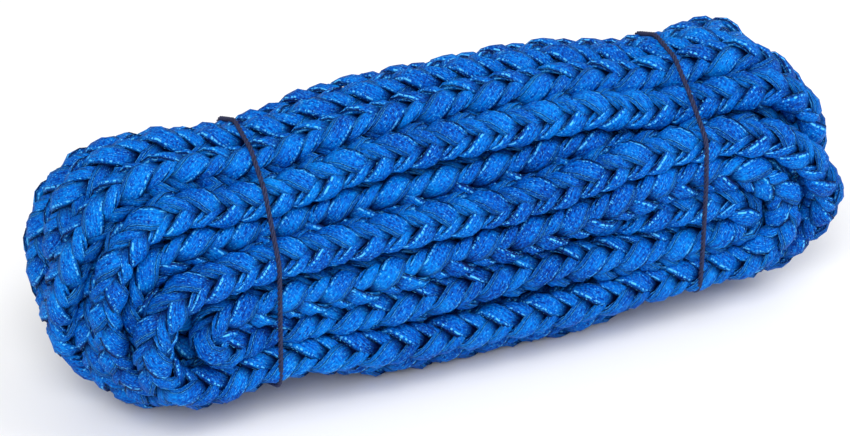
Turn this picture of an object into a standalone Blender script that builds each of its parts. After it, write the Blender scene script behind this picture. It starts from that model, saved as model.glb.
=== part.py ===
"""A hank of braided line, wound in flat layers and held by two twine ties.

Metres, +Z up, X along the hank, Y through its layers. The origin is on the resting surface,
under the middle of the hank's box. Each layer of the winding is one solid of its outer shape.
"""

import math

import bmesh
import bpy
from mathutils import Matrix, Vector

# Driving sizes of the hank. Its layers nest, so their pitch is a little less than the line's diameter.
HANK_LENGTH = 0.238
HANK_HEIGHT = 0.084
LAYER_PITCH = 0.0106
LAYER_GAP = 0.0003

# How far each layer's folds stop short of the hank's ends, from the front layer to the back one
SHORT_AT_LEFT = (0.022, 0.008, 0.007, 0.003, 0.0, 0.009)
SHORT_AT_RIGHT = (0.007, 0.001, 0.0, 0.002, 0.005, 0.009)
LAYER_COUNT = len(SHORT_AT_LEFT)
# The exponent of the rounded cross-section: 2 is an ellipse, and more is squarer
SECTION_SQUARENESS = 2.2
# The front and back layers hold fewer turns than the others, and so are lower
FRONT_LAYER_HEIGHT = 0.053
FRONT_LAYER_BOTTOM = 0.0105
BACK_LAYER_HEIGHT = 0.052
BACK_LAYER_BOTTOM = 0.012
# How far a layer's folded ends reach, as a share of half its height
FOLD_REACH = 0.75

# The twine ties, each in a waist that it has pulled into the hank
TWINE_DIAMETER = 0.0015
TIE_FROM_LEFT_END = 0.060
TIE_FROM_RIGHT_END = 0.049
TIE_LEFT_X = -HANK_LENGTH / 2 + TIE_FROM_LEFT_END
TIE_RIGHT_X = HANK_LENGTH / 2 - TIE_FROM_RIGHT_END
TIE_TRAVEL = 0.008
WAIST_DEPTH = 0.0045
WAIST_SHOULDER = 0.014
CLEARANCE = 0.0003
KNOT_LENGTH = 0.0052
KNOT_WIDTH = 0.0040
KNOT_THICKNESS = 0.0030
KNOT_LEAN = math.radians(30)

ARC_STEPS = 28
SHOULDER_STEPS = 6
TIE_ARC_STEP = math.radians(25)

LINE_BLUE = (0.005, 0.12, 0.55, 1.0)
TWINE_DARK = (0.018, 0.020, 0.050, 1.0)


def clear_scene():
    """Removes whatever the file opened with."""
    for old in list(bpy.data.objects):
        bpy.data.objects.remove(old)


def new_collection(name):
    made = bpy.data.collections.new(name)
    bpy.context.scene.collection.children.link(made)
    return made


def plain_material(name, colour, roughness):
    """A Principled BSDF of one colour."""
    made = bpy.data.materials.new(name)
    made.use_nodes = True
    shader = made.node_tree.nodes["Principled BSDF"]
    shader.inputs["Base Color"].default_value = colour
    shader.inputs["Roughness"].default_value = roughness
    shader.inputs["Metallic"].default_value = 0.0
    return made


def layer_middle(layer):
    """The Y of the middle of a layer. Layer 0 is the front one."""
    return (layer - (LAYER_COUNT - 1) / 2) * LAYER_PITCH


def layer_levels(layer):
    """The bottom and the top of a layer away from the ties."""
    if layer == 0:
        return FRONT_LAYER_BOTTOM, FRONT_LAYER_BOTTOM + FRONT_LAYER_HEIGHT
    if layer == LAYER_COUNT - 1:
        return BACK_LAYER_BOTTOM, BACK_LAYER_BOTTOM + BACK_LAYER_HEIGHT
    inner_face = max(0.0, abs(layer_middle(layer)) - LAYER_PITCH / 2)
    share = inner_face / (LAYER_COUNT * LAYER_PITCH / 2)
    half = HANK_HEIGHT / 2 * (1 - share**SECTION_SQUARENESS) ** (1 / SECTION_SQUARENESS)
    return HANK_HEIGHT / 2 - half, HANK_HEIGHT / 2 + half


def waist_at(x):
    """How far the ties have pulled the hank in at x: the whole depth where a tie runs."""
    depth = 0.0
    for tie_x in (TIE_LEFT_X, TIE_RIGHT_X):
        beyond = abs(x - tie_x) - TIE_TRAVEL - TWINE_DIAMETER
        share = min(max(beyond / WAIST_SHOULDER, 0.0), 1.0)
        depth = max(depth, WAIST_DEPTH * (1 + math.cos(math.pi * share)) / 2)
    return depth


def edge_stations(start, stop):
    """The X values of an edge's points between start and stop, close together on the shoulders."""
    stations = [start, stop]
    for tie_x in (TIE_LEFT_X, TIE_RIGHT_X):
        for step in range(SHOULDER_STEPS + 1):
            reach = TIE_TRAVEL + TWINE_DIAMETER + WAIST_SHOULDER * step / SHOULDER_STEPS
            stations += [tie_x - reach, tie_x + reach]
    return sorted({round(x, 6) for x in stations if start <= x <= stop})


def fold_arc(centre_x, centre_z, fold, half, start):
    """The round end between two edges, as (x, z) points over half a turn from the start angle."""
    points = []
    for step in range(1, ARC_STEPS):
        angle = start + math.pi * step / ARC_STEPS
        x = centre_x + fold * math.cos(angle)
        points.append((x, centre_z + (half - waist_at(x)) * math.sin(angle)))
    return points


def layer_outline(layer):
    """The outline of a layer as (x, z) points: two long edges and two round ends."""
    bottom, top = layer_levels(layer)
    half = (top - bottom) / 2
    middle = (top + bottom) / 2
    fold = half * FOLD_REACH
    left = -HANK_LENGTH / 2 + SHORT_AT_LEFT[layer] + fold
    right = HANK_LENGTH / 2 - SHORT_AT_RIGHT[layer] - fold
    points = [(x, bottom + waist_at(x)) for x in edge_stations(left, right)]
    points += fold_arc(right, middle, fold, half, -math.pi / 2)
    points += [(x, top - waist_at(x)) for x in reversed(edge_stations(left, right))]
    points += fold_arc(left, middle, fold, half, math.pi / 2)
    return points


def make_layer(layer, material, collection):
    """One flat layer of the winding, extruded from its outline to just short of its neighbours."""
    name = f"coil_layer_{layer + 1}"
    curve = bpy.data.curves.new(name, "CURVE")
    curve.dimensions = "2D"
    curve.fill_mode = "BOTH"
    curve.extrude = (LAYER_PITCH - LAYER_GAP) / 2
    outline = layer_outline(layer)
    spline = curve.splines.new("POLY")
    spline.points.add(len(outline) - 1)
    for point, (x, z) in zip(spline.points, outline):
        point.co = (x, z, 0.0, 1.0)
    spline.use_cyclic_u = True
    curve.materials.append(material)
    made = bpy.data.objects.new(name, curve)
    made.location = (0.0, layer_middle(layer), 0.0)
    made.rotation_euler = (math.pi / 2, 0.0, 0.0)
    collection.objects.link(made)
    return made


def make_loop(name, points, radius, material, collection):
    """A round tube along the points and back to the first one."""
    curve = bpy.data.curves.new(name, "CURVE")
    curve.dimensions = "3D"
    curve.bevel_depth = radius
    curve.bevel_resolution = 2
    spline = curve.splines.new("POLY")
    spline.points.add(len(points) - 1)
    for point, place in zip(spline.points, points):
        point.co = (*place, 1.0)
    spline.use_cyclic_u = True
    curve.materials.append(material)
    made = bpy.data.objects.new(name, curve)
    collection.objects.link(made)
    return made


def section_corners(x):
    """The (y, z) corners of everything that a tie at x goes round."""
    corners = []
    for layer in range(LAYER_COUNT):
        bottom, top = layer_levels(layer)
        half = (LAYER_PITCH - LAYER_GAP) / 2
        for y in (layer_middle(layer) - half, layer_middle(layer) + half):
            corners += [(y, bottom + waist_at(x)), (y, top - waist_at(x))]
    return corners


def taut_hull(corners):
    """The corners that a taut loop touches, anticlockwise in (y, z)."""
    ordered = sorted(set(corners))
    chains = []
    for run in (ordered, ordered[::-1]):
        chain = []
        for corner in run:
            while len(chain) > 1 and turn_of(chain[-2], chain[-1], corner) <= 1e-9:
                chain.pop()
            chain.append(corner)
        chains.append(chain[:-1])
    return chains[0] + chains[1]


def turn_of(first, second, third):
    """Positive where the way through three points turns left."""
    along = (second[0] - first[0], second[1] - first[1])
    onward = (third[0] - first[0], third[1] - first[1])
    return along[0] * onward[1] - along[1] * onward[0]


def outward_angle(first, second):
    """The direction away from the loop's inside, on the span from the first corner to the second."""
    return math.atan2(first[0] - second[0], second[1] - first[1])


def tie_route(x):
    """The middle of the twine: straight spans, and a small arc of the clearance round each corner."""
    corners = taut_hull(section_corners(x))
    reach = CLEARANCE + TWINE_DIAMETER / 2
    points = []
    for index, corner in enumerate(corners):
        onward = corners[(index + 1) % len(corners)]
        start = outward_angle(corners[index - 1], corner)
        turn = (outward_angle(corner, onward) - start) % (2 * math.pi)
        steps = max(1, round(turn / TIE_ARC_STEP))
        for step in range(steps + 1):
            angle = start + turn * step / steps
            y = corner[0] + reach * math.cos(angle)
            z = corner[1] + reach * math.sin(angle)
            points.append((x, y, z))
    return points


def knot_span(route):
    """The ends of the loop's span that faces nearest to the knot's side, among those that the knot fits."""
    spans = []
    for index, point in enumerate(route):
        before = route[index - 1]
        lean = outward_angle(before[1:], point[1:])
        if math.dist(before, point) > KNOT_LENGTH:
            spans.append((abs(lean - KNOT_LEAN), lean, before, point))
    _, lean, before, point = min(spans)
    return lean, Vector(before), Vector(point)


def make_knot(name, x, material, collection):
    """The knot, a flattened ball that sits on the middle of a span at the back."""
    lean, before, point = knot_span(tie_route(x))
    outward = Vector((0.0, math.cos(lean), math.sin(lean)))
    reach = TWINE_DIAMETER / 2 + CLEARANCE + KNOT_THICKNESS / 2
    mesh = bpy.data.meshes.new(name)
    ball = bmesh.new()
    bmesh.ops.create_uvsphere(ball, u_segments=16, v_segments=10, radius=0.5)
    bmesh.ops.scale(ball, vec=(KNOT_WIDTH, KNOT_THICKNESS, KNOT_LENGTH), verts=ball.verts)
    bmesh.ops.rotate(ball, matrix=Matrix.Rotation(lean, 3, "X"), verts=ball.verts)
    bmesh.ops.translate(ball, vec=(before + point) / 2 + outward * reach, verts=ball.verts)
    ball.to_mesh(mesh)
    ball.free()
    mesh.shade_smooth()
    mesh.materials.append(material)
    made = bpy.data.objects.new(name, mesh)
    collection.objects.link(made)
    return made


def make_tie(name, x, material, collection):
    """A loop of twine and its knot, on an empty that stands on the line they slide along."""
    guide = bpy.data.objects.new(name + "_slide", None)
    guide.location = (x, 0.0, HANK_HEIGHT / 2)
    collection.objects.link(guide)
    loop = make_loop(name, tie_route(x), TWINE_DIAMETER / 2, material, collection)
    knot = make_knot(name + "_knot", x, material, collection)
    for piece in (loop, knot):
        piece.parent = guide
        piece.location = -guide.location


def main():
    clear_scene()
    collection = new_collection("coiled_line")
    line_blue = plain_material("line_blue", LINE_BLUE, 0.45)
    twine_dark = plain_material("twine_dark", TWINE_DARK, 0.8)
    for layer in range(LAYER_COUNT):
        make_layer(layer, line_blue, collection)
    for name, x in (("tie_left", TIE_LEFT_X), ("tie_right", TIE_RIGHT_X)):
        make_tie(name, x, twine_dark, collection)


main()
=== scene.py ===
import math
import random
from dataclasses import dataclass
from typing import Callable

import bmesh
import bpy
import numpy as np
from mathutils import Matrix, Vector


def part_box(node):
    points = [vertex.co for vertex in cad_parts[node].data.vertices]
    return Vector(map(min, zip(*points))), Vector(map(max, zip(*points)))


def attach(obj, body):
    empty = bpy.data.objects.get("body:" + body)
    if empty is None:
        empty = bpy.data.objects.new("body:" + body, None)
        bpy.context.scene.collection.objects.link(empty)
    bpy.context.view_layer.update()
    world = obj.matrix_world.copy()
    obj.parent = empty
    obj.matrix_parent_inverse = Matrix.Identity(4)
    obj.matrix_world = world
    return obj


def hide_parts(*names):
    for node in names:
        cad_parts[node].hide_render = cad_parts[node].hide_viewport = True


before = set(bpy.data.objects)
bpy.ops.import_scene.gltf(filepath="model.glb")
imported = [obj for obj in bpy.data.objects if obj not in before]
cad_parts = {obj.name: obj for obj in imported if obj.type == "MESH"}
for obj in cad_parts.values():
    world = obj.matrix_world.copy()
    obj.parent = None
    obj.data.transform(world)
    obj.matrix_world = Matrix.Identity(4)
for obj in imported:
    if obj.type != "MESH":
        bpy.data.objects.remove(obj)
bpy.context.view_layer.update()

# ---------------------------------------------------------------------------------------------
# The line's lay in the hank. One length of limp hollow braid is wound in long flat turns, layer
# behind layer, each layer spiralling out and the next one back in. The folds at both ends flatten
# the braid, and the twine ties pull the whole hank in.
# ---------------------------------------------------------------------------------------------

# The line's diameter as it lies in the hank, and how far apart the points of its route are
LINE_DIAMETER = 0.0124
LINE_STEP = 0.0022
# A tight fold squeezes the braid across the bend and spreads it along the winding axis
FOLD_THICKNESS = 0.74
FOLD_WIDTH = 1.16
# The exponent of a fold's outline on the left and on the right: 2 is round, and more is blunter
FOLD_SQUARENESS = (2.05, 1.75)

# Where each tie goes round the hank, to a tenth of a millimetre
TIE_XS = tuple(round(float(np.mean(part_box(name), axis=0)[0]), 4) for name in ("tie_left", "tie_right"))
# How far each side of a tie the hank is drawn in, and how long the slopes beyond that are
WAIST_REACH = 0.009
WAIST_SHOULDER = 0.022
WAIST_END_SHOULDER = 0.011
# How much a tie draws in the runs below the middle, and those above it
WAIST_PINCH = (0.155, 0.095)
WAIST_SIDE_PINCH = 0.06

layer_boxes = [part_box(f"coil_layer_{number}") for number in range(1, 7)]
hank_low = np.min([low for low, _ in layer_boxes], axis=0)
hank_high = np.max([high for _, high in layer_boxes], axis=0)
hank_centre_z = (hank_low[2] + hank_high[2]) / 2

# The front layer is a loose spiral of its own. Each of its runs is the way it goes, then the heights
# of its middle at the left fold, the left tie, halfway, the right tie and the right fold, then how far
# behind the layer it lies at the left, and then the X of the next fold's middle and that fold's reach.
FRONT_RUNS = (
    ("right", (0.0410, 0.0410, 0.0410, 0.0412, 0.0415), 0.0, 0.082, 0.0060),
    ("left", (0.0280, 0.0310, 0.0325, 0.0300, 0.0300), 0.006, -0.073, 0.0085),
    ("right", (0.0400, 0.0405, 0.0430, 0.0510, 0.0515), 0.0, 0.082, 0.0155),
    ("left", (0.0180, 0.0210, 0.0172, 0.0185, 0.0190), 0.0, -0.079, 0.0175),
    ("right", (0.0525, 0.0537, 0.0560, 0.0605, 0.0605), 0.0, 0.082, 0.0225),
)
# The line starts between the first two layers
LINE_START_X = 0.024
LINE_START_Y = -0.0115

# The other layers' runs in the order they are wound, as steps above or below the layer's middle.
# They go left and right by turns.
RUN_ORDERS = {
    1: (-2.5, 2.5, -1.5, 1.5, -0.5, 0.5),
    2: (0.0, -1.0, 1.0, -2.0, 2.0, -3.0, 3.0),
    3: (-3.0, 3.0, -2.0, 2.0, -1.0, 1.0, 0.0),
    4: (0.5, -0.5, 1.5, -1.5, 2.5, -2.5),
    5: (1.5, -1.5, 0.5, -0.5),
}

# The middle of each layer and the step between its runs, at the left fold, halfway and at the right
# fold, from the second layer to the back one
LAYER_MIDDLES = {
    1: (0.0420, 0.0408, 0.0405),
    2: (0.0422, 0.0430, 0.0407),
    3: (0.0430, 0.0442, 0.0416),
    4: (0.0427, 0.0442, 0.0412),
    5: (0.0405, 0.0400, 0.0400),
}
RUN_STEPS = {
    1: (0.0116, 0.0133, 0.0116),
    2: (0.0117, 0.0119, 0.0117),
    3: (0.0117, 0.0119, 0.0115),
    4: (0.0122, 0.0126, 0.0118),
    5: (0.0124, 0.0126, 0.0124),
}
# How far a fold reaches past the runs' ends, for each step between its runs, and the least it can be
FOLD_STEP = 0.0085
TIGHTEST_FOLD = 0.0060
# How far the full layers' folds stop short of their solids' ends
SHORT_AT_LEFT = 0.0012
SHORT_AT_RIGHT = 0.0030
# The ties draw the second layer towards a point this much above the hank's middle
SECOND_LAYER_RAISED = 0.0015
# How much the outermost runs of the front and back layers come in round the hank's side
SIDE_ROUNDING = 0.10
OUTER_LAYER_DEPTH = 0.0265
# The front layer: its first left fold and its right end, the height above which a run counts as an
# outer one, how far out that is, and how flat its folds are pressed
FRONT_LEFT_FOLD = -0.079
FRONT_RIGHT_END = 0.084
FRONT_TOP_LEVEL = 0.05
FRONT_TOP_ORDER = 2.0
FRONT_FLATTENING = 0.2

# How far a run strays from its way, and the length in which the line's start joins its layer
RUN_SWAY = 0.0006
START_EASE = 0.042
# Where a sunk run leaves its layer and comes back to it, and the length that each takes
SUNK_FROM = -0.080
SUNK_IN = 0.012
SUNK_UNTIL = -0.055
SUNK_OUT = 0.050
# The points that a fold is made of, and the reach under which a fold is simply round
FOLD_POINTS = 60
ROUND_FOLD = 0.012
# How far short of its last fold the line's free end stops, give or take the point it stops at
FREE_END_SHORT = 0.004
FREE_END_WITHIN = 0.003

# How the turns press on each other: rounds, the share of a diameter they keep through the hank's
# height and its depth, what a tie takes off that, and how fast and how far a point moves in a round
PRESS_ROUNDS = 160
KEPT_HEIGHT = 0.965
KEPT_DEPTH = 0.88
WAIST_SQUEEZE = 0.13
PUSH = 0.22
PULL_BACK = 0.025
LONGEST_MOVE = 0.0008


def ease(share):
    """0 to 1 with level ends."""
    share = np.clip(share, 0.0, 1.0)
    return share * share * (3 - 2 * share)


def waist_at(x):
    """1 where a tie runs, falling to 0 beyond the shoulders of its waist."""
    pinch = 0.0
    for tie_x in TIE_XS:
        towards_end = (x - tie_x) * tie_x > 0
        shoulder = np.where(towards_end, WAIST_END_SHOULDER, WAIST_SHOULDER)
        pinch = np.maximum(pinch, 1 - ease((np.abs(x - tie_x) - WAIST_REACH) / shoulder))
    return pinch


def eased_between(stations, values, x):
    """A value given at each station, eased from one to the next."""
    value = values[0]
    for index in range(len(stations) - 1):
        share = (x - stations[index]) / (stations[index + 1] - stations[index])
        value = value + (values[index + 1] - values[index]) * ease(share)
    return value


@dataclass
class Run:
    """One straight run of a turn: the way it goes, where it lies, and its ends."""

    to_right: bool
    depth: float
    sunk: float
    height: Callable
    left: float
    right: float
    # How far past its end the fold that it goes into reaches
    reach: float
    flattening: float


def front_height(heights):
    """The height of a run in the front layer."""
    stations = (FRONT_LEFT_FOLD, TIE_XS[0], 0.0, TIE_XS[1], FRONT_RIGHT_END)
    return lambda x: eased_between(stations, heights, x)


def packed_height(number, order, left, right):
    """The height of a run that lies in a full layer, drawn in where the ties are."""
    stations = (left, (left + right) / 2, right)

    def height(x):
        level = eased_between(stations, LAYER_MIDDLES[number], x)
        level = level + order * eased_between(stations, RUN_STEPS[number], x)
        middle = hank_centre_z + (SECOND_LAYER_RAISED if number == 1 else 0.0)
        return middle + (level - middle) * (1 - WAIST_PINCH[order > 0] * waist_at(x))

    return height


def layer_depth(number, order):
    """The Y of a run: the outer runs of the front and back layers round the hank's side."""
    low, high = layer_boxes[number]
    depth = (low[1] + high[1]) / 2
    away = max(0.0, abs(order) - 1.0) / 2.5
    return depth * (1 - SIDE_ROUNDING * away * away * abs(depth) / OUTER_LAYER_DEPTH)


runs = []
left = FRONT_LEFT_FOLD
for way, heights, sunk, fold_x, reach in FRONT_RUNS:
    to_right = way == "right"
    left, right = (left, fold_x) if to_right else (fold_x, right)
    depth = layer_depth(0, FRONT_TOP_ORDER if heights[2] > FRONT_TOP_LEVEL else 0.0)
    runs.append(Run(to_right, depth, sunk, front_height(heights), left, right, reach, FRONT_FLATTENING))
for number, orders in RUN_ORDERS.items():
    low, high = layer_boxes[number]
    longest_reach = {False: TIGHTEST_FOLD, True: TIGHTEST_FOLD}
    goes_right = not runs[-1].to_right
    for order, onward in zip(orders, orders[1:]):
        reach = FOLD_STEP * (abs(order) + abs(onward)) / 2
        longest_reach[goes_right] = max(longest_reach[goes_right], reach)
        goes_right = not goes_right
    left = low[0] + longest_reach[False] + LINE_DIAMETER * FOLD_THICKNESS / 2 + SHORT_AT_LEFT
    right = high[0] - longest_reach[True] - LINE_DIAMETER * FOLD_THICKNESS / 2 - SHORT_AT_RIGHT
    for order in orders:
        reach = max(FOLD_STEP * abs(order), TIGHTEST_FOLD)
        height = packed_height(number, order, left, right)
        depth = layer_depth(number, order)
        runs.append(Run(not runs[-1].to_right, depth, 0.0, height, left, right, reach, 1.0))

wander = random.Random(41)
route = []
for index, run in enumerate(runs):
    first, last = (run.left, run.right) if run.to_right else (run.right, run.left)
    if index == 0:
        first = LINE_START_X
    count = int(abs(last - first) / LINE_STEP)
    waves = [(wander.uniform(35, 90), wander.uniform(0, 6.28), wander.uniform(-1, 1)) for _ in range(4)]
    for step in range(count):
        x = first + (last - first) * step / count
        sway = sum(size * math.sin(rate * x + phase) for rate, phase, size in waves[:2])
        lift = sum(size * math.sin(rate * x + phase) for rate, phase, size in waves[2:])
        y = run.depth * (1 - WAIST_SIDE_PINCH * float(waist_at(x)))
        still_sunk = 1 - float(ease((x - SUNK_UNTIL) / SUNK_OUT))
        y += run.sunk * still_sunk * float(ease((x - SUNK_FROM) / SUNK_IN))
        if index == 0:
            y += (LINE_START_Y - run.depth) * (1 - float(ease((x - first) / START_EASE)))
        route.append((x, y + RUN_SWAY * sway, float(run.height(x)) + RUN_SWAY * lift, 0.0))
    if index == len(runs) - 1:
        break
    # The fold from this run to the next, which may change layer on its way
    onward = runs[index + 1]
    side = 1 if run.to_right else -1
    near_x, far_x = (run.right, onward.right) if run.to_right else (run.left, onward.left)
    near_z, far_z = float(run.height(near_x)), float(onward.height(far_x))
    near_reach = run.reach
    far_reach = run.reach if index < len(FRONT_RUNS) else onward.reach
    blunt = 2.0 if near_reach < ROUND_FOLD else FOLD_SQUARENESS[run.to_right]
    for step in range(FOLD_POINTS):
        angle = math.pi * step / FOLD_POINTS
        share = float(ease(step / FOLD_POINTS))
        rise = abs(math.cos(angle)) ** (2 / blunt) * (1 if angle < math.pi / 2 else -1)
        bulge = math.sin(angle) ** (2 / blunt)
        reach = near_reach + (far_reach - near_reach) * share
        x = near_x + (far_x - near_x) * share + side * reach * bulge
        y = run.depth + (onward.depth - run.depth) * share
        z = (near_z + far_z) / 2 + (near_z - far_z) / 2 * rise
        flat = (run.flattening + (onward.flattening - run.flattening) * share) * math.sin(angle)
        route.append((x, y, z, flat))

route = np.array(route)
last_run = runs[-1]
free_end_x = last_run.right - FREE_END_SHORT if last_run.to_right else last_run.left + FREE_END_SHORT
at_free_end = np.abs(route[:, 0] - free_end_x) < FREE_END_WITHIN
route = route[: int(np.flatnonzero(at_free_end)[-1]) + 1]


def resample(points, step):
    """The same line with its points the step apart."""
    gaps = np.linalg.norm(np.diff(points[:, :3], axis=0), axis=1)
    along = np.concatenate([[0.0], np.cumsum(gaps)])
    count = int(round(along[-1] / step))
    stations = np.linspace(0.0, along[-1], count + 1)
    return np.column_stack([np.interp(stations, along, values) for values in points.T])


def soften(values, rounds):
    """Averages each point with its neighbours, with the two ends held."""
    for _ in range(rounds):
        values[1:-1] = values[1:-1] * 0.5 + (values[:-2] + values[2:]) * 0.25
    return values


def touching_pairs(places, reach):
    """Pairs of points on different turns that are within reach of each other."""
    order = np.argsort(places[:, 0])
    xs = places[order, 0]
    pairs = []
    for shift in range(1, len(order)):
        close = xs[shift:] - xs[:-shift] < reach
        if not close.any():
            break
        first, second = order[:-shift][close], order[shift:][close]
        apart = np.abs(first - second) > 6
        first, second = first[apart], second[apart]
        near = np.abs(places[first] - places[second]).max(axis=1) < reach
        pairs.append(np.column_stack([first[near], second[near]]))
    return np.concatenate(pairs)


def press_together(line, rounds):
    """Lets the turns push each other apart to about a diameter, less where the ties hold them in."""
    places, folded = line[:, :3].copy(), line[:, 3]
    wanted = places.copy()
    pinch = waist_at(places[:, 0])
    for number in range(rounds):
        if number % 8 == 0:
            pairs = touching_pairs(places, LINE_DIAMETER * 1.3)
        first, second = pairs.T
        gap = places[second] - places[first]
        bent = (folded[first] + folded[second]) / 2
        squeeze = 1 - WAIST_SQUEEZE * (pinch[first] + pinch[second]) / 2
        thick = LINE_DIAMETER * KEPT_HEIGHT * (1 + (FOLD_THICKNESS - 1) * bent) * squeeze
        wide = LINE_DIAMETER * KEPT_DEPTH * (1 + (FOLD_WIDTH - 1) * bent)
        scaled = gap / np.column_stack([thick, wide, thick])
        far = np.linalg.norm(scaled, axis=1)
        short = np.clip(1 - far, 0.0, None)
        push = gap * (short / np.maximum(far, 0.2))[:, None] * PUSH
        moved = np.zeros_like(places)
        np.add.at(moved, first, -push)
        np.add.at(moved, second, push)
        moved += (wanted - places) * PULL_BACK
        size = np.linalg.norm(moved, axis=1, keepdims=True)
        places += moved * np.minimum(1.0, LONGEST_MOVE / np.maximum(size, 1e-9))
        places = wanted + soften(places - wanted, 2)
        places[:, 2] = np.maximum(places[:, 2], LINE_DIAMETER / 2 + 0.0004 + hank_low[2])
    return np.column_stack([places, folded])


route = resample(route, 0.003)
soften(route, 4)
route = press_together(route, PRESS_ROUNDS)
route = resample(route, LINE_STEP)
soften(route[:, :3], 3)

# ---------------------------------------------------------------------------------------------
# The camera. It stands a little left of square on and looks down on the hank through a long lens.
# ---------------------------------------------------------------------------------------------

VIEW_TURN = math.radians(20.0)
VIEW_DROP = math.radians(32.0)
VIEW_ROLL = math.radians(-2.0)
VIEW_DISTANCE = 1.2
level = math.cos(VIEW_DROP)
view_way = Vector((math.sin(VIEW_TURN) * level, math.cos(VIEW_TURN) * level, -math.sin(VIEW_DROP)))
view_right = Vector((math.cos(VIEW_TURN), -math.sin(VIEW_TURN), 0.0))
view_up = view_right.cross(view_way)
aim = Vector((0.006, 0.0, 0.042)) - 0.0092 * view_right - 0.0035 * view_up
camera_data = bpy.data.cameras.new("camera")
camera_data.sensor_width = 36.0
camera_data.lens = 176.0
camera = bpy.data.objects.new("camera", camera_data)
camera.location = aim - view_way * VIEW_DISTANCE
camera.rotation_euler = view_way.to_track_quat("-Z", "Y").to_euler()
camera.rotation_euler.rotate_axis("Z", VIEW_ROLL)
bpy.context.scene.collection.objects.link(camera)
bpy.context.scene.camera = camera

# ---------------------------------------------------------------------------------------------
# The line itself: a hollow braid of eight strands with no core, four laid to each hand, over two
# and under two. Each strand is three flat polypropylene film yarns, one broad and two narrow.
# ---------------------------------------------------------------------------------------------

# The length in which a strand goes once round the line
BRAID_TURN = 0.058
STRANDS_EACH_WAY = 4
BRAID_MEAN_RADIUS = 0.0031
BRAID_WEAVE_DEPTH = 0.0020
# How much a strand quickens round the line where it lies on top, and widens there
BRAID_SWING = 0.18
BRAID_SWELL = 0.34
# How much a strand's yarns are drawn together where it dives under
BRAID_GATHER = 0.28
# Waves in the line's twist along its length, as the wave's length and its size in radians
TWIST_WAVES = ((1.3, 0.45), (0.61, 0.35), (0.37, 0.12))
# How squarely a strand goes from over to under
WEAVE_SQUARENESS = 0.85
# How fast a yarn's slack comes and goes along the line, and how much it moves and widens the yarn
SLACK_RATE = 120.0
SLACK_ANGLE = 0.16
SLACK_RADIUS = 0.0007
SLACK_WIDTH = 0.4
# Yarns on the braid's curve lie this much further apart than on a flat one
YARN_SPREAD = 1.12
# Each yarn's offset across its strand, its width, its thickness and how far it stands out
YARN_SIZE_NAMES = ("offset", "width", "thickness", "lift")
YARN_SIZES = {
    "Broad": (-0.00150, 0.0052, 0.0023, 0.00015),
    "Middle": (0.00195, 0.0029, 0.0019, 0.00005),
    "Edge": (0.00370, 0.0018, 0.0014, -0.00045),
}


def add_node(tree, kind, settings=None, values=None):
    """A node with its settings, and with values or links put on its inputs."""
    node = tree.nodes.new(kind)
    for name, value in (settings or {}).items():
        setattr(node, name, value)
    for socket, value in (values or {}).items():
        if isinstance(value, bpy.types.NodeSocket):
            tree.links.new(value, node.inputs[socket])
        else:
            node.inputs[socket].default_value = value
    return node


def reckon(operation, *values):
    """The result of one sum on results and numbers, in the tree that the results come from."""
    tree = next(value.id_data for value in values if isinstance(value, bpy.types.NodeSocket))
    return add_node(tree, "ShaderNodeMath", {"operation": operation}, dict(enumerate(values))).outputs[0]


def plus(first, second):
    return reckon("ADD", first, second)


def minus(first, second):
    return reckon("SUBTRACT", first, second)


def times(first, second):
    return reckon("MULTIPLY", first, second)


def stretch(vector, size):
    """A vector made size times as long."""
    values = {"Vector": vector, "Scale": size}
    return add_node(vector.id_data, "ShaderNodeVectorMath", {"operation": "SCALE"}, values).outputs[0]


def join_vectors(first, second):
    """The sum of two vectors."""
    values = {0: first, 1: second}
    return add_node(first.id_data, "ShaderNodeVectorMath", {"operation": "ADD"}, values).outputs[0]


def read_attribute(tree, name, kind="FLOAT"):
    node = add_node(tree, "GeometryNodeInputNamedAttribute", {"data_type": kind}, {"Name": name})
    return node.outputs[0]


def lay_curve(tree, curve, offset, outward):
    """The curve moved by an offset at each point, with its flat side turned outward."""
    values = {"Geometry": curve, "Offset": offset}
    placed = add_node(tree, "GeometryNodeSetPosition", None, values).outputs[0]
    values = {"Curve": placed, "Normal": outward}
    return add_node(tree, "GeometryNodeSetCurveNormal", {"mode": "FREE"}, values).outputs[0]


def sweep_yarn(tree, curve, width, thickness, fullness):
    """A flat yarn swept along a curve, with its own length and girth kept as a UV map."""
    profile = add_node(tree, "GeometryNodeCurvePrimitiveCircle", None, {"Resolution": 6, "Radius": 0.5})
    size = add_node(tree, "ShaderNodeCombineXYZ", None, {0: width, 1: thickness, 2: 1.0})
    shaped = add_node(
        tree,
        "GeometryNodeTransform",
        None,
        {"Geometry": profile.outputs[0], "Rotation": (0.0, 0.0, math.pi / 2), "Scale": size.outputs[0]},
    )
    girth = add_node(tree, "GeometryNodeCaptureAttribute", None, {"Geometry": shaped.outputs[0]})
    girth.capture_items.new("FLOAT", "Girth")
    tree.links.new(add_node(tree, "GeometryNodeSplineParameter").outputs["Factor"], girth.inputs[1])
    length = add_node(tree, "GeometryNodeCaptureAttribute", None, {"Geometry": curve})
    length.capture_items.new("FLOAT", "Length")
    tree.links.new(add_node(tree, "GeometryNodeSplineParameter").outputs["Length"], length.inputs[1])
    values = {
        "Curve": length.outputs[0],
        "Profile Curve": girth.outputs[0],
        "Scale": fullness,
        "Fill Caps": True,
    }
    swept = add_node(tree, "GeometryNodeCurveToMesh", None, values)
    flat = add_node(tree, "ShaderNodeCombineXYZ", None, {0: length.outputs[1], 1: girth.outputs[1]})
    kept = add_node(
        tree,
        "GeometryNodeStoreNamedAttribute",
        {"data_type": "FLOAT2", "domain": "CORNER"},
        {"Geometry": swept.outputs[0], "Name": "yarn", "Value": flat.outputs[0]},
    )
    return add_node(tree, "GeometryNodeSetShadeSmooth", None, {"Geometry": kept.outputs[0]}).outputs[0]


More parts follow.
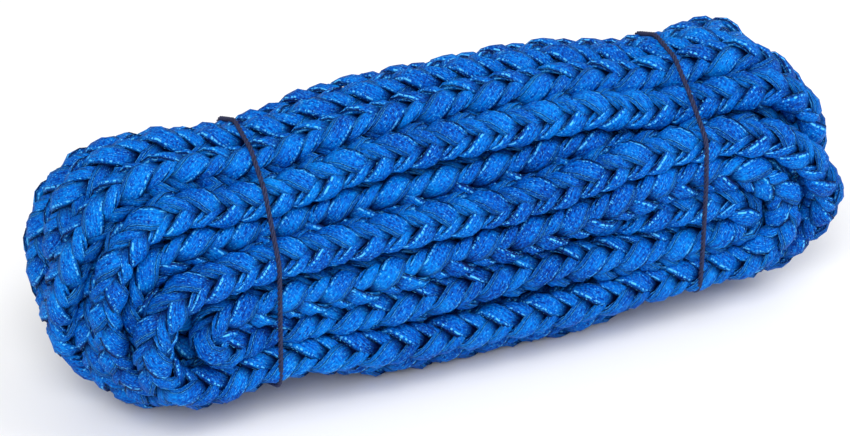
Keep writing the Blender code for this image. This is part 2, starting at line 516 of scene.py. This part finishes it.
def start_tree(name, inputs):
    """A Geometry Nodes tree with named number inputs, and the socket of each by its name."""
    tree = bpy.data.node_groups.new(name, "GeometryNodeTree")
    tree.interface.new_socket("Geometry", in_out="INPUT", socket_type="NodeSocketGeometry")
    for title in inputs:
        tree.interface.new_socket(title, in_out="INPUT", socket_type="NodeSocketFloat")
    tree.interface.new_socket("Geometry", in_out="OUTPUT", socket_type="NodeSocketGeometry")
    start = tree.nodes.new("NodeGroupInput")
    return tree, {socket.name: socket for socket in start.outputs if socket.name}


def end_tree(tree, parts, material):
    """Joins the parts, makes real geometry of them in their material, and sends them out of the tree."""
    joined = tree.nodes.new("GeometryNodeJoinGeometry")
    for part in parts:
        tree.links.new(part, joined.inputs[0])
    real = add_node(tree, "GeometryNodeRealizeInstances", None, {"Geometry": joined.outputs[0]})
    values = {"Geometry": real.outputs[0], "Material": material}
    dressed = add_node(tree, "GeometryNodeSetMaterial", None, values)
    end = tree.nodes.new("NodeGroupOutput")
    tree.links.new(dressed.outputs[0], end.inputs[0])


def grow(name, base, tree, values):
    """Runs a tree on a base mesh and gives the result as a plain object."""
    seed = bpy.data.objects.new(name + "_base", base)
    bpy.context.scene.collection.objects.link(seed)
    modifier = seed.modifiers.new("Grow", "NODES")
    modifier.node_group = tree
    for item in tree.interface.items_tree:
        if item.in_out == "INPUT" and item.name in values:
            modifier[item.identifier] = float(values[item.name])
    graph = bpy.context.evaluated_depsgraph_get()
    mesh = bpy.data.meshes.new_from_object(seed.evaluated_get(graph))
    mesh.name = name
    bpy.data.objects.remove(seed)
    made = bpy.data.objects.new(name, mesh)
    bpy.context.scene.collection.objects.link(made)
    return made


def path_mesh(name, places, attributes):
    """A chain of edges through the places, with numbers and vectors held on its points."""
    mesh = bpy.data.meshes.new(name)
    count = len(places)
    mesh.from_pydata([tuple(place) for place in places], [(i, i + 1) for i in range(count - 1)], [])
    for title, values in attributes.items():
        kind, field = ("FLOAT_VECTOR", "vector") if np.ndim(values) == 2 else ("FLOAT", "value")
        layer = mesh.attributes.new(title, kind, "POINT")
        layer.data.foreach_set(field, np.asarray(values, np.float32).ravel())
    return mesh


def braid_yarn_material():
    """Satin polypropylene film: lengthwise fibres, painted shade at the yarn's edges and where it dives
    under, and painted glints, short bright dashes of highlight, along the yarn's edges.
    """
    material = bpy.data.materials.new("braid_yarn")
    material.use_nodes = True
    tree = material.node_tree
    shader = tree.nodes["Principled BSDF"]
    place = add_node(tree, "ShaderNodeUVMap", {"uv_map": "yarn"})
    parts = add_node(tree, "ShaderNodeSeparateXYZ", None, {0: place.outputs[0]})
    along, girth = parts.outputs[0], parts.outputs[1]

    def fibre_noise(along_rate, girth_rate, detail, shift):
        spot = add_node(
            tree,
            "ShaderNodeCombineXYZ",
            None,
            {0: times(along, along_rate), 1: times(girth, girth_rate), 2: shift},
        )
        values = {"Vector": spot.outputs[0], "Scale": 1.0, "Detail": detail, "Roughness": 0.6}
        return add_node(tree, "ShaderNodeTexNoise", None, values).outputs[0]

    fibres = fibre_noise(300.0, 26.0, 2.0, 0.0)
    crinkles = fibre_noise(1500.0, 14.0, 2.0, 5.0)
    patches = fibre_noise(60.0, 1.0, 1.0, 7.0)
    mixed = plus(times(fibres, 0.35), times(crinkles, 0.40))
    mixed = plus(mixed, times(patches, 0.25))
    shade = add_node(tree, "ShaderNodeValToRGB", None, {0: mixed})
    ramp = shade.color_ramp
    ramp.elements[0].position = 0.40
    ramp.elements[0].color = (0.000, 0.022, 0.190, 1.0)
    ramp.elements[1].position = 0.60
    ramp.elements[1].color = (0.000, 0.200, 0.680, 1.0)
    middle = ramp.elements.new(0.49)
    middle.color = (0.000, 0.084, 0.460, 1.0)

    # Painted shade: the film's colour is darkened at its very edges and where it dives under, where shade
    # falls between the yarns and strands. Beside the edges, painted glints put short bright dashes of
    # highlight into the colour.
    side = reckon("FRACT", times(girth, 2.0))
    side = minus(0.5, reckon("ABSOLUTE", minus(side, 0.5)))
    edge_range = {0: side, 1: 0.03, 2: 0.15, 3: 0.10, 4: 1.0}
    painted_edge_shade = add_node(tree, "ShaderNodeMapRange", None, edge_range).outputs[0]
    lie = add_node(tree, "ShaderNodeAttribute", {"attribute_name": "on_top"}).outputs["Fac"]
    depth_range = {0: lie, 1: -0.25, 2: 0.45, 3: 0.05, 4: 1.0}
    painted_under_shade = add_node(tree, "ShaderNodeMapRange", None, depth_range).outputs[0]
    painted_shade_amount = times(painted_edge_shade, painted_under_shade)
    # The dark navy here is the colour of the painted shade
    mix = {0: painted_shade_amount, 6: (0.0, 0.002, 0.030, 1.0), 7: shade.outputs[0]}
    with_painted_shade = add_node(tree, "ShaderNodeMix", {"data_type": "RGBA"}, mix)
    # Painted glints: short bright dashes of highlight in a band beside each yarn edge, with stray ones
    # elsewhere, dimmed where the painted shade falls
    band = reckon("ABSOLUTE", minus(side, 0.17))
    near_side = times(minus(0.045, band), 40.0)
    near_side_limited = add_node(tree, "ShaderNodeClamp", None, {0: near_side}).outputs[0]
    dashes = times(minus(fibre_noise(1700.0, 6.0, 0.0, 3.0), 0.50), 16.0)
    dashes_limited = add_node(tree, "ShaderNodeClamp", None, {0: dashes}).outputs[0]
    stray_glint = times(minus(fibre_noise(1300.0, 60.0, 0.0, 9.0), 0.68), 9.0)
    stray_glint_limited = add_node(tree, "ShaderNodeClamp", None, {0: stray_glint}).outputs[0]
    painted_glints = reckon("MAXIMUM", times(near_side_limited, dashes_limited), stray_glint_limited)
    painted_glints = times(painted_glints, painted_under_shade)
    # The pale cyan here is the painted glints' highlight colour, and the roughness is lowered under them
    # too
    colour = add_node(
        tree,
        "ShaderNodeMix",
        {"data_type": "RGBA"},
        {0: times(painted_glints, 0.85), 6: with_painted_shade.outputs[2], 7: (0.10, 0.55, 1.0, 1.0)},
    )
    tree.links.new(colour.outputs[2], shader.inputs["Base Color"])
    gloss = minus(0.60, times(painted_glints, 0.2))
    tree.links.new(gloss, shader.inputs["Roughness"])
    shader.inputs["Specular IOR Level"].default_value = 0.06
    height = plus(times(fibres, 0.5), times(crinkles, 0.7))
    bump = add_node(tree, "ShaderNodeBump", None, {"Strength": 1.0, "Distance": 0.0005, "Height": height})
    tree.links.new(bump.outputs[0], shader.inputs["Normal"])
    return material


def directions_across(places):
    """The two directions across the line at each point: in the plane of its turn, and along Y."""
    tangents = np.gradient(places, axis=0)
    tangents /= np.linalg.norm(tangents, axis=1, keepdims=True)
    across = np.array([0.0, 1.0, 0.0]) - tangents * tangents[:, 1:2]
    across /= np.linalg.norm(across, axis=1, keepdims=True)
    return np.cross(across, tangents), across


def weave_phase(angle):
    """Where a strand is in its over and under, which it goes through twice in a turn of the line."""
    return minus(times(angle, 2.0), math.pi / 4)


yarn_material = braid_yarn_material()
line_places = route[:, :3]
line_side, line_across = directions_across(line_places)
stations = np.arange(len(line_places)) * LINE_STEP
# The line is twisted a little along its length, and its two hands of strands drift past each other
line_twist = np.full(len(stations), -math.pi / 8)
braid_drift = np.zeros(len(stations))
for wave_length, amount in TWIST_WAVES:
    line_twist += amount * np.sin(stations * 2 * math.pi / wave_length + wander.uniform(0, 6.28))
    phases = stations * 2 * math.pi / (wave_length * 0.83) + wander.uniform(0, 6.28)
    braid_drift += 0.7 * amount * np.sin(phases)

strand_inputs = ["Hand", "Start", "Turn length", "Mean radius", "Weave depth"]
strand_inputs += ["Swing", "Swell", "Gather", "Seed"]
yarn_inputs = [f"{yarn} {size}" for yarn in YARN_SIZES for size in YARN_SIZE_NAMES]
braid_tree, given = start_tree("Braid strand", strand_inputs + yarn_inputs)
turn_rate = reckon("DIVIDE", 2 * math.pi, given["Turn length"])
along_line = read_attribute(braid_tree, "station")
winding = plus(times(along_line, turn_rate), read_attribute(braid_tree, "drift"))
sides = read_attribute(braid_tree, "side", "FLOAT_VECTOR")
acrosses = read_attribute(braid_tree, "across", "FLOAT_VECTOR")
flatness = read_attribute(braid_tree, "flat")
side_scale = minus(1.0, times(flatness, 1 - FOLD_THICKNESS))
across_scale = plus(1.0, times(flatness, FOLD_WIDTH - 1))
line_curve = add_node(braid_tree, "GeometryNodeMeshToCurve", None, {0: given["Geometry"]}).outputs[0]
radius_over = plus(given["Mean radius"], given["Weave depth"])
swept_yarns = []
for yarn in YARN_SIZES:
    yarn_offset = given[f"{yarn} offset"]
    values = {0: times(along_line, SLACK_RATE), 1: plus(given["Seed"], yarn_offset)}
    spot = add_node(braid_tree, "ShaderNodeCombineXYZ", None, values).outputs[0]
    values = {"Vector": spot, "Scale": 1.0, "Detail": 1.0}
    loose = add_node(braid_tree, "ShaderNodeTexNoise", {"noise_dimensions": "2D"}, values).outputs[0]
    slack = minus(loose, 0.5)

    # The yarn's angle round the line: beside its strand's middle, but drawn in where the strand dives
    strand_angle = plus(times(given["Hand"], winding), given["Start"])
    spread = times(reckon("COSINE", weave_phase(strand_angle)), given["Hand"])
    spread = minus(1.0, times(minus(1.0, spread), given["Gather"]))
    lean = times(reckon("DIVIDE", times(yarn_offset, YARN_SPREAD), radius_over), spread)
    angle = plus(strand_angle, times(given["Hand"], lean))
    angle = plus(angle, times(slack, SLACK_ANGLE))
    swing = times(reckon("SINE", weave_phase(angle)), given["Swing"])
    angle = plus(angle, times(swing, given["Hand"]))
    turned = plus(angle, read_attribute(braid_tree, "twist"))

    # Its distance from the line's middle, over two strands and then under two
    on_top = times(reckon("COSINE", weave_phase(angle)), given["Hand"])
    weave = reckon("TANH", times(on_top, WEAVE_SQUARENESS))
    weave = times(weave, 1 / math.tanh(WEAVE_SQUARENESS))
    radius = plus(given["Mean radius"], times(weave, given["Weave depth"]))
    radius = plus(radius, given[f"{yarn} lift"])
    radius = plus(radius, times(slack, SLACK_RADIUS))

    to_side = reckon("COSINE", turned)
    to_across = reckon("SINE", turned)
    offset = join_vectors(
        stretch(sides, times(times(radius, to_side), side_scale)),
        stretch(acrosses, times(times(radius, to_across), across_scale)),
    )
    outward = join_vectors(stretch(sides, to_side), stretch(acrosses, to_across))
    # The over and under is kept as on_top for the yarn material, which darkens the colour with painted
    # shade where a strand dives under
    marked = add_node(
        braid_tree,
        "GeometryNodeStoreNamedAttribute",
        {"data_type": "FLOAT", "domain": "POINT"},
        {"Geometry": line_curve, "Name": "on_top", "Value": on_top},
    ).outputs[0]
    facing = lay_curve(braid_tree, marked, offset, outward)
    fullness = plus(1.0, times(slack, SLACK_WIDTH))
    fullness = plus(fullness, times(on_top, given["Swell"]))
    width, thickness = given[f"{yarn} width"], given[f"{yarn} thickness"]
    swept_yarns.append(sweep_yarn(braid_tree, facing, width, thickness, fullness))
end_tree(braid_tree, swept_yarns, yarn_material)

line_base = path_mesh(
    "line_base",
    line_places,
    {
        "station": stations,
        "drift": braid_drift,
        "twist": line_twist,
        "flat": route[:, 3],
        "side": line_side,
        "across": line_across,
    },
)
strands = []
for number in range(2 * STRANDS_EACH_WAY):
    hand = 1 if number < STRANDS_EACH_WAY else -1
    values = {
        "Hand": hand,
        "Start": 2 * math.pi * (number % STRANDS_EACH_WAY) / STRANDS_EACH_WAY,
        "Turn length": BRAID_TURN,
        "Mean radius": BRAID_MEAN_RADIUS,
        "Weave depth": BRAID_WEAVE_DEPTH,
        "Swing": BRAID_SWING,
        "Swell": BRAID_SWELL,
        "Gather": BRAID_GATHER,
        "Seed": 11.0 * number,
    }
    for yarn, sizes in YARN_SIZES.items():
        for size, value in zip(YARN_SIZE_NAMES, sizes):
            values[f"{yarn} {size}"] = value
    strands.append(grow(f"line_strand_{number + 1}", line_base, braid_tree, values))


# The cap that melting leaves on each end of the line, and how far beyond the end its middle is
TIP_RADIUS = 0.0061
TIP_LENGTH = 0.0040
TIP_BEYOND = 0.0006


def melted_material():
    """Polypropylene that has been melted and has set: darker, smooth and glossy."""
    material = bpy.data.materials.new("melted_tip")
    material.use_nodes = True
    tree = material.node_tree
    shader = tree.nodes["Principled BSDF"]
    place = add_node(tree, "ShaderNodeTexCoord").outputs["Object"]
    values = {"Vector": place, "Scale": 600.0, "Detail": 3.0}
    blotches = add_node(tree, "ShaderNodeTexNoise", None, values).outputs[0]
    shade = add_node(tree, "ShaderNodeValToRGB", None, {0: blotches})
    shade.color_ramp.elements[0].position = 0.35
    shade.color_ramp.elements[0].color = (0.000, 0.010, 0.080, 1.0)
    shade.color_ramp.elements[1].position = 0.70
    shade.color_ramp.elements[1].color = (0.002, 0.060, 0.330, 1.0)
    tree.links.new(shade.outputs[0], shader.inputs["Base Color"])
    shader.inputs["Roughness"].default_value = 0.22
    values = {"Strength": 0.6, "Distance": 0.0004, "Height": blotches}
    bump = add_node(tree, "ShaderNodeBump", None, values)
    tree.links.new(bump.outputs[0], shader.inputs["Normal"])
    return material


def melted_tip(name, place, outward, material):
    """The sealed end of the line: a lumpy cap over the eight strands' ends."""
    axis = Vector(outward).normalized()
    turn = Vector((0.0, 0.0, 1.0)).rotation_difference(axis).to_matrix().to_4x4()
    lumps = random.Random(name)
    phases = [lumps.uniform(0, 6.28) for _ in range(3)]
    form = bmesh.new()
    bmesh.ops.create_uvsphere(form, u_segments=40, v_segments=24, radius=1.0)
    for vert in form.verts:
        angle = math.atan2(vert.co.y, vert.co.x)
        ripple = 1 + 0.05 * math.sin(8 * angle + phases[0]) + 0.05 * math.sin(3 * angle + phases[1])
        swell = TIP_RADIUS * ripple
        bulge = TIP_LENGTH * (1 + 0.1 * math.sin(5 * angle + phases[2]))
        vert.co = Vector((vert.co.x * swell, vert.co.y * swell, vert.co.z * bulge))
    bmesh.ops.transform(form, matrix=turn, verts=form.verts)
    bmesh.ops.translate(form, vec=Vector(place) + axis * TIP_BEYOND, verts=form.verts)
    mesh = bpy.data.meshes.new(name)
    form.to_mesh(mesh)
    form.free()
    mesh.shade_smooth()
    mesh.materials.append(material)
    made = bpy.data.objects.new(name, mesh)
    bpy.context.scene.collection.objects.link(made)
    return made


tip_material = melted_material()
inner_tip = melted_tip("line_inner_tip", line_places[0], line_places[0] - line_places[3], tip_material)
outer_tip = melted_tip("line_outer_tip", line_places[-1], line_places[-1] - line_places[-4], tip_material)
for piece in strands + [inner_tip, outer_tip]:
    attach(piece, "hank")
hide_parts(*[f"coil_layer_{number}" for number in range(1, 7)])

# ---------------------------------------------------------------------------------------------
# The two ties: dark twisted twine drawn tight round the hank and knotted on its upper back slope,
# with the twine's two ends cut short beside the knot.
# ---------------------------------------------------------------------------------------------

TWINE_DIAMETER = 0.0015
TWINE_PLIES = 3
# The length in which a ply goes once round the twine
TWINE_TURN = 0.0052
# How deep the twine presses into the braid
TWINE_SINK = 0.0010
TWINE_STEP = 0.0007
# How much line each side of a tie bears on it
TIE_SPAN = 0.0085
KNOT_ANGLE = math.radians(40)
# How far along the hank a tie leans for each metre of height
TIE_LEAN = 0.04
MILLIMETRE = 0.001


def turn_of(first, second, third):
    """Positive where the way through three points turns left."""
    along, onward = second - first, third - first
    return along[0] * onward[1] - along[1] * onward[0]


def taut_loop(x):
    """Where twine drawn round the hank at x runs, as evenly spaced (y, z) points."""
    near = route[np.abs(route[:, 0] - x) < TIE_SPAN, 1:3]
    angles = np.linspace(0.0, 2 * math.pi, 48, endpoint=False)
    reach = LINE_DIAMETER / 2 + TWINE_DIAMETER / 2 - TWINE_SINK
    circle = np.column_stack([np.cos(angles), np.sin(angles)]) * reach
    spots = (near[:, None, :] + circle[None, :, :]).reshape(-1, 2)
    spots = spots[spots[:, 1] > TWINE_DIAMETER / 2 + 0.0003]
    spots = spots[np.lexsort((spots[:, 1], spots[:, 0]))]
    hull = []
    for line in (spots, spots[::-1]):
        chain = []
        for spot in line:
            while len(chain) > 1 and turn_of(chain[-2], chain[-1], spot) <= 1e-12:
                chain.pop()
            chain.append(spot)
        hull += chain[:-1]
    loop = np.array(hull + [hull[0]])
    loop = np.column_stack([loop, np.zeros(len(loop))])
    return resample(loop, TWINE_STEP)[:, :2]


def twine_material():
    """Dark, slightly purple twisted twine with fine fibres along each ply."""
    material = bpy.data.materials.new("tie_twine")
    material.use_nodes = True
    tree = material.node_tree
    shader = tree.nodes["Principled BSDF"]
    place = add_node(tree, "ShaderNodeUVMap", {"uv_map": "yarn"})
    parts = add_node(tree, "ShaderNodeSeparateXYZ", None, {0: place.outputs[0]})
    spot = add_node(
        tree,
        "ShaderNodeCombineXYZ",
        None,
        {0: times(parts.outputs[0], 500.0), 1: times(parts.outputs[1], 14.0)},
    )
    fibres = add_node(
        tree, "ShaderNodeTexNoise", None, {"Vector": spot.outputs[0], "Scale": 1.0, "Detail": 3.0}
    ).outputs[0]
    shade = add_node(tree, "ShaderNodeValToRGB", None, {0: fibres})
    shade.color_ramp.elements[0].position = 0.35
    shade.color_ramp.elements[0].color = (0.005, 0.008, 0.032, 1.0)
    shade.color_ramp.elements[1].position = 0.68
    shade.color_ramp.elements[1].color = (0.036, 0.042, 0.120, 1.0)
    tree.links.new(shade.outputs[0], shader.inputs["Base Color"])
    shader.inputs["Roughness"].default_value = 0.65
    shader.inputs["Specular IOR Level"].default_value = 0.3
    bump = add_node(tree, "ShaderNodeBump", None, {"Strength": 0.5, "Distance": 0.0001, "Height": fibres})
    tree.links.new(bump.outputs[0], shader.inputs["Normal"])
    return material


twine_colour = twine_material()
twine_tree, given = start_tree("Twisted twine", ["Turn length", "Ply offset", "Ply diameter"])
turn_rate = reckon("DIVIDE", 2 * math.pi, given["Turn length"])
twine_angle = times(read_attribute(twine_tree, "station"), turn_rate)
twine_sides = read_attribute(twine_tree, "side", "FLOAT_VECTOR")
twine_acrosses = read_attribute(twine_tree, "across", "FLOAT_VECTOR")
twine_curve = add_node(twine_tree, "GeometryNodeMeshToCurve", None, {0: given["Geometry"]}).outputs[0]
swept_plies = []
for ply in range(TWINE_PLIES):
    angle = plus(twine_angle, 2 * math.pi * ply / TWINE_PLIES)
    outward = join_vectors(stretch(twine_sides, reckon("COSINE", angle)),
        stretch(twine_acrosses, reckon("SINE", angle)),
    )
    facing = lay_curve(twine_tree, twine_curve, stretch(outward, given["Ply offset"]), outward)
    swept_plies.append(sweep_yarn(twine_tree, facing, given["Ply diameter"], given["Ply diameter"], 1.0))
end_tree(twine_tree, swept_plies, twine_colour)


def lay_twine(name, places):
    """Twisted twine along the places."""
    tangents = np.gradient(places, axis=0)
    tangents /= np.linalg.norm(tangents, axis=1, keepdims=True)
    side = np.zeros_like(tangents)
    side[0] = np.cross(tangents[0], (0.3, 0.5, 0.8))
    for index in range(len(places)):
        if index:
            side[index] = side[index - 1]
        side[index] -= tangents[index] * side[index].dot(tangents[index])
        side[index] /= np.linalg.norm(side[index])
    gaps = np.linalg.norm(np.diff(places, axis=0), axis=1)
    along = np.concatenate([[0.0], np.cumsum(gaps)])
    base = path_mesh(name, places, {"station": along, "side": side, "across": np.cross(tangents, side)})
    values = {
        "Turn length": TWINE_TURN,
        "Ply offset": TWINE_DIAMETER * 0.27,
        "Ply diameter": TWINE_DIAMETER * 0.5,
    }
    return grow(name, base, twine_tree, values)


def smooth_through(knots, step):
    """An even, rounded line through a few points."""
    line = resample(np.array(knots, float), step)
    return soften(line, 14)


for name, tie_x, body in (("tie_left", TIE_XS[0], "left_tie"), ("tie_right", TIE_XS[1], "right_tie")):
    loop = taut_loop(tie_x)
    middle = loop.mean(axis=0)
    bearing = np.arctan2(loop[:, 1] - middle[1], loop[:, 0] - middle[0])
    start = int(np.argmin(np.abs(bearing - KNOT_ANGLE)))
    loop = np.roll(loop[:-1], -start, axis=0)
    crossing = loop[0]
    along = loop[1] - loop[-1]
    along /= np.linalg.norm(along)
    outward = np.array([along[1], -along[0]])
    if outward.dot(crossing - middle) < 0:
        outward = -outward
    closed = np.vstack([loop, loop[:1]])
    leaning = np.array([(tie_x + TIE_LEAN * (z - hank_centre_z), y, z) for y, z in closed])
    band = lay_twine(name + "_twine", leaning)

    def near_knot(x, run, out):
        """A place by the knot, in millimetres: along the hank, along the twine and outward."""
        y, z = crossing + along * run * MILLIMETRE + outward * out * MILLIMETRE
        return (tie_x + TIE_LEAN * (z - hank_centre_z) + x * MILLIMETRE, y, z)

    # The knot is two turns of the twine worked tight round each other, with an end out of each side
    bow = [
        near_knot(-5.6, 5.0, -0.2),
        near_knot(-3.0, 3.2, 0.5),
        near_knot(-0.9, 1.2, 1.3),
        near_knot(1.3, 0.2, 1.7),
        near_knot(1.5, -1.2, 0.8),
        near_knot(-0.4, -1.6, 0.3),
        near_knot(-1.6, -0.3, 1.0),
        near_knot(-0.6, 1.2, 2.1),
        near_knot(1.4, 1.5, 1.5),
        near_knot(1.3, 0.0, 0.5),
        near_knot(-0.3, -0.9, 1.6),
        near_knot(-1.4, -1.9, 1.6),
        near_knot(0.6, -2.2, 0.9),
        near_knot(2.8, -3.0, 0.5),
        near_knot(6.0, -6.2, -0.1),
    ]
    knot = lay_twine(name + "_knotted_ends", smooth_through(bow, 0.0005))
    for piece in (band, knot):
        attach(piece, body)
    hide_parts(name)
    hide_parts(name + "_knot")

# ---------------------------------------------------------------------------------------------
# A pale floor under the hank and soft, even studio light from above and in front.
# ---------------------------------------------------------------------------------------------

floor_mesh = bpy.data.meshes.new("floor")
floor_mesh.from_pydata([(-4, -4, 0), (4, -4, 0), (4, 4, 0), (-4, 4, 0)], [], [(0, 1, 2, 3)])
floor = bpy.data.objects.new("floor", floor_mesh)
bpy.context.scene.collection.objects.link(floor)
floor_material = bpy.data.materials.new("pale_floor")
floor_material.use_nodes = True
floor_shader = floor_material.node_tree.nodes["Principled BSDF"]
floor_shader.inputs["Base Color"].default_value = (0.9, 0.9, 0.9, 1.0)
floor_shader.inputs["Roughness"].default_value = 0.7
floor_mesh.materials.append(floor_material)

world = bpy.data.worlds.new("studio")
world.use_nodes = True
sky = world.node_tree.nodes["Background"]
sky.inputs["Color"].default_value = (1.0, 1.0, 1.0, 1.0)
sky.inputs["Strength"].default_value = 0.65
bpy.context.scene.world = world
for name, place, size, power in (
    ("key_light", (-0.5, -1.1, 1.3), 0.9, 22.0),
    ("fill_light", (0.9, -0.6, 0.9), 0.8, 8.0),
):
    lamp_data = bpy.data.lights.new(name, "AREA")
    lamp_data.size = size
    lamp_data.energy = power
    lamp = bpy.data.objects.new(name, lamp_data)
    lamp.location = place
    towards_hank = Vector((0.0, 0.0, 0.04)) - Vector(place)
    lamp.rotation_euler = towards_hank.to_track_quat("-Z", "Y").to_euler()
    bpy.context.scene.collection.objects.link(lamp)
bpy.context.scene.view_settings.view_transform = "Standard"
